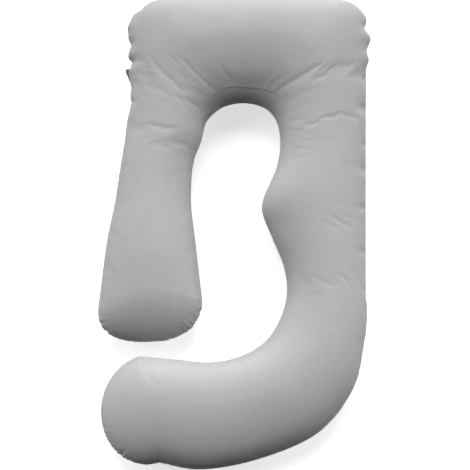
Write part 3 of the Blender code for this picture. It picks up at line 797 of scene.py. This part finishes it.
def fibre():
    # clumps, with fine strands over them
    finish = Finish("fibre_fill")
    place = finish.place()
    clumps = finish.noise(place, 45.0, 4.0, 0.65)
    strands = finish.noise(finish.stretched(place, (300.0, 900.0, 500.0)), 1.0, 3.0)
    colour = finish.mix(clumps, tone((0.86, 0.86, 0.85)), tone((0.96, 0.96, 0.95)))
    bump = finish.bump(clumps + strands * 0.4, 0.8, 0.004)
    return finish.finished(Base_Color=colour, Roughness=1.0, Normal=bump)


liner = inner("liner", "liner_white", linerCloth(), *settled, **layers["liner"])
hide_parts("liner_front_panel", "liner_back_panel")
filling = inner("fibre_filling", "fibre_fill", fibre(), *settled, **layers["filling"])
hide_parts("filling")
print("liner and filling done")


# Solids from rings

def ringSolid(name, rings, finish):
    # a closed solid through the rings, its ends capped across each ring, facing outwards
    count, sides = rings.shape[:2]
    index = np.arange(count * sides).reshape(count, sides)
    i = np.arange(sides // 2 - 1)
    cap = np.stack([i, i + 1, sides - 2 - i, sides - 1 - i], axis=1)
    faces = np.concatenate([
        gridQuads(np.concatenate([index, index[:, :1]], axis=1)), index[0][cap], index[-1][cap][:, ::-1]
    ])
    points = rings.reshape(-1, 3)
    a, b, c, d = (points[faces[:, corner]] - points.mean(axis=0) for corner in range(4))
    volume = (a * (np.cross(b, c) + np.cross(c, d))).sum()
    made = addMesh(name, rings, faces if volume > 0 else faces[:, ::-1], finish)
    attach(made, "pillow")
    return made


# The side label, its near-black colour painted shade

# its two near-black colours are painted shade, standing for the shaded underside of a pucker fold in the seam
label = {
    "top": 0.512, "bottom": 0.474, "reach": 0.0150, "shortest": 0.0030, "root": 0.003,
    "thick": 0.0007, "droop": 0.0075, "paintedShadeDark": (0.028, 0.028, 0.031), "light": (0.075, 0.075, 0.082),
}


def labelClothPaintedShade():
    # threads = 0.6 sin(9000 y) + 0.4 sin(14000 x)
    finish = Finish("label_cloth_painted_shade")
    place = finish.place()
    along, across = finish.axis(place, "Y") * 9000.0, finish.axis(place, "X") * 14000.0
    threads = along.sine() * 0.6 + across.sine() * 0.4
    worn = finish.noise(place, 400.0, 3.0)
    # the label's near-black tones are painted shade of the seam's pucker fold; the noise only mottles them at
    # random
    colour = finish.mix(worn, tone(label["paintedShadeDark"]), tone(label["light"]))
    return finish.finished(Base_Color=colour, Roughness=0.6, Normal=finish.bump(threads, 0.4, 0.0002))


def foldedLabel():
    # Rings across the label, from its lower end to its upper one. Each is the fold's flat loop,
    # out = (reach + root) * (1 + cos) / 2 - root, up = thick * sin^0.5, bent down by
    # droop * (out / reach)^1.5.
    edge = top[:, -1]
    side = edge[(edge[:, 0] < left + 0.16) & (edge[:, 1] > 0.40)]
    side = side[np.argsort(side[:, 1])]
    share = np.linspace(0, 1, 30)[:, None]
    y = between(label["bottom"], label["top"], share)
    seam = np.interp(y, side[:, 1], side[:, 0])
    reach = between(label["shortest"], label["reach"], share**1.6)
    angle = (np.arange(20) + 0.5)[None] * np.pi / 10
    out = (reach + label["root"]) * (1 + np.cos(angle)) / 2 - label["root"]
    bent = label["droop"] * (np.clip(out, 0, 1) / label["reach"]) ** 1.5
    up = label["thick"] * signedPower(np.sin(angle), 0.5) - bent
    return np.stack([seam - out, y + 0.10 * out + 0 * angle, seamHeight + up], axis=2)


# a folded label solid in the seam, coloured near-black as painted shade of the pucker fold there
sideLabel = ringSolid("woven_label_painted_shade", foldedLabel(), labelClothPaintedShade())
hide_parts("side_label")


# The zipper

zipper = {
    "pitch": 0.0012, "wire": 0.00027, "slit": 0.00084, "steps": 8,
    "nylon": ((0.26, 0.26, 0.27), (0.34, 0.34, 0.35)),
    "tape": ((0.30, 0.30, 0.31), (0.40, 0.40, 0.41)),
    "metal": ((0.26, 0.26, 0.27), (0.36, 0.36, 0.37)),
    "edge": 0.00018,  # rounding of the metal's edges
}


def nylon():
    # fine mottled grain
    finish = Finish("zip_nylon")
    place = finish.place()
    shade = finish.noise(place, 700.0, 2.0)
    colour = finish.mix(shade, tone(zipper["nylon"][0]), tone(zipper["nylon"][1]))
    return finish.finished(Base_Color=colour, Roughness=0.42, Normal=finish.bump(shade, 0.1, 0.0001))


def twill():
    # diagonal ridges, sin(7500 (y + z)), over a fine grain
    finish = Finish("zip_twill")
    place = finish.place()
    ridge = ((finish.axis(place, "Y") + finish.axis(place, "Z")) * 7500.0).sine()
    grain = finish.noise(place, 2500.0, 2.0)
    colour = finish.mix(ridge * 0.25 + grain * 0.5 + 0.25, tone(zipper["tape"][0]), tone(zipper["tape"][1]))
    bump = finish.bump(ridge + grain, 0.5, 0.0002)
    return finish.finished(Base_Color=colour, Roughness=0.9, Normal=bump)


def brushedMetal():
    # noise drawn out along the zipper, with the roughness from the worn patches
    finish = Finish("zip_brushed_metal")
    place = finish.place()
    brushed = finish.noise(finish.stretched(place, (9000.0, 700.0, 9000.0)), 1.0, 3.0)
    worn = finish.noise(place, 350.0, 3.0)
    colour = finish.mix(worn, tone(zipper["metal"][0]), tone(zipper["metal"][1]))
    bump = finish.bump(brushed, 0.15, 0.00005)
    return finish.finished(Base_Color=colour, Metallic=1.0, Roughness=worn * 0.2 + 0.30, Normal=bump)


def coil(sign, low, high):
    # a flattened helix: x = a cos t, z = b sin t, y = pitch t / (2 pi), with a square wire round it
    z0 = seamHeight + sign * zipper["slit"] / 2
    z1 = high if sign > 0 else low
    turns = int((zipTop - zipBottom - 2 * zipper["wire"]) / zipper["pitch"])
    t = np.linspace(0, 2 * np.pi * turns, zipper["steps"] * turns + 1)
    a = (coilHigh[0] - coilLow[0]) / 2 - zipper["wire"]
    b = abs(z1 - z0) / 2 - zipper["wire"]
    zero = np.zeros_like(t)
    outward = np.stack([np.cos(t), zero, np.sin(t)], axis=1)
    y = zipBottom + zipper["wire"] + zipper["pitch"] * t / (2 * np.pi)
    middle = np.stack([zipX + a * np.cos(t), y, (z0 + z1) / 2 + b * np.sin(t)], axis=1)
    angle = ((np.arange(4) + 0.5) * np.pi / 2)[None, :, None]
    ring = np.cos(angle) * outward[:, None] + np.sin(angle) * np.array((0, 1.0, 0))
    return middle[:, None] + zipper["wire"] * ring


teethFinish, tapeFinish, metalFinish = nylon(), twill(), brushedMetal()
for side, sign in (("upper", 1), ("lower", -1)):
    low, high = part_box("zip_coil_" + side)
    teeth = ringSolid("zip_teeth_" + side, coil(sign, low[2], high[2]), teethFinish)
    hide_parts("zip_coil_" + side)
for name in ("zip_tape_upper", "zip_tape_lower"):
    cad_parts[name].data.materials.clear()
    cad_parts[name].data.materials.append(tapeFinish)
for name in ("zip_slider", "zip_pull", "zip_bottom_stop", "zip_top_stop_upper", "zip_top_stop_lower"):
    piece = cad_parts[name]
    piece.data.materials.clear()
    piece.data.materials.append(metalFinish)
    rounded = piece.modifiers.new("rounded", "BEVEL")
    rounded.width = zipper["edge"]
    rounded.segments = 2
    rounded.limit_method = "ANGLE"
print("label and zipper done")


# Studio

studio = {
    "lens": 85.0, "sensor": 36.0, "frameWidth": 1.4531, "aimX": 0.0070, "aimY": 0.0,
    "lights": [
        # name, where it comes from, spread in degrees, strength
        ("overhead", (0.0, 0.79, 0.61), 40.0, 3.3),
        ("right_side", (0.84, 0.42, 0.34), 40.0, 1.85),
        ("left_high", (-0.66, 0.45, 0.60), 40.0, 0.95),
        ("left_side", (-0.88, 0.32, 0.34), 40.0, 0.70),
        ("floor_bounce", (0.0, 0.0, -1.0), 160.0, 0.5),
    ],
    "floorGlow": 0.65, "floorHalf": 30.0,
}


def addCamera():
    # straight above; its distance makes the frame's width at the seam's height
    made = bpy.data.objects.new("camera", bpy.data.cameras.new("camera"))
    made.data.lens = studio["lens"]
    made.data.sensor_width = studio["sensor"]
    distance = studio["frameWidth"] * studio["lens"] / studio["sensor"]
    made.location = (studio["aimX"], studio["aimY"], seamHeight + distance)
    made.data.clip_end = 200.0
    bpy.context.scene.collection.objects.link(made)
    bpy.context.scene.camera = made


def addSoftLight(name, fromPlace, spread, strength):
    # even light from the direction of fromPlace, as soft as a source that fills spread degrees of the view
    light = bpy.data.lights.new(name, "SUN")
    light.angle = np.radians(spread)
    light.energy = strength
    made = bpy.data.objects.new(name, light)
    made.rotation_euler = Vector(fromPlace).to_track_quat("Z", "Y").to_euler()
    bpy.context.scene.collection.objects.link(made)


def addFloor():
    # a plain pale square that glows a little
    finish = Finish("studio_floor")
    place = finish.place()
    blend = finish.noise(place, 3.0, 3.0)
    colour = finish.mix(blend, tone((0.80, 0.80, 0.80)), tone((0.84, 0.84, 0.84)))
    made = finish.finished(
        Base_Color=colour, Roughness=0.9,
        Emission_Color=tone((1, 1, 1)), Emission_Strength=studio["floorGlow"],
    )
    size = studio["floorHalf"]
    corners = np.array([(-size, -size, 0), (size, -size, 0), (size, size, 0), (-size, size, 0)], float)
    floor = addMesh("floor", corners, np.array([[0, 1, 2, 3]]), made, False)
    floor.visible_diffuse = floor.visible_shadow = False


addCamera()
addFloor()
for softLight in studio["lights"]:
    addSoftLight(*softLight)
world = bpy.data.worlds.new("studio")
world.use_nodes = True
world.node_tree.nodes["Background"].inputs["Color"].default_value = (0.95, 0.95, 0.95, 1)
world.cycles_visibility.diffuse = False
bpy.context.scene.world = world
bpy.context.scene.view_settings.view_transform = "Standard"
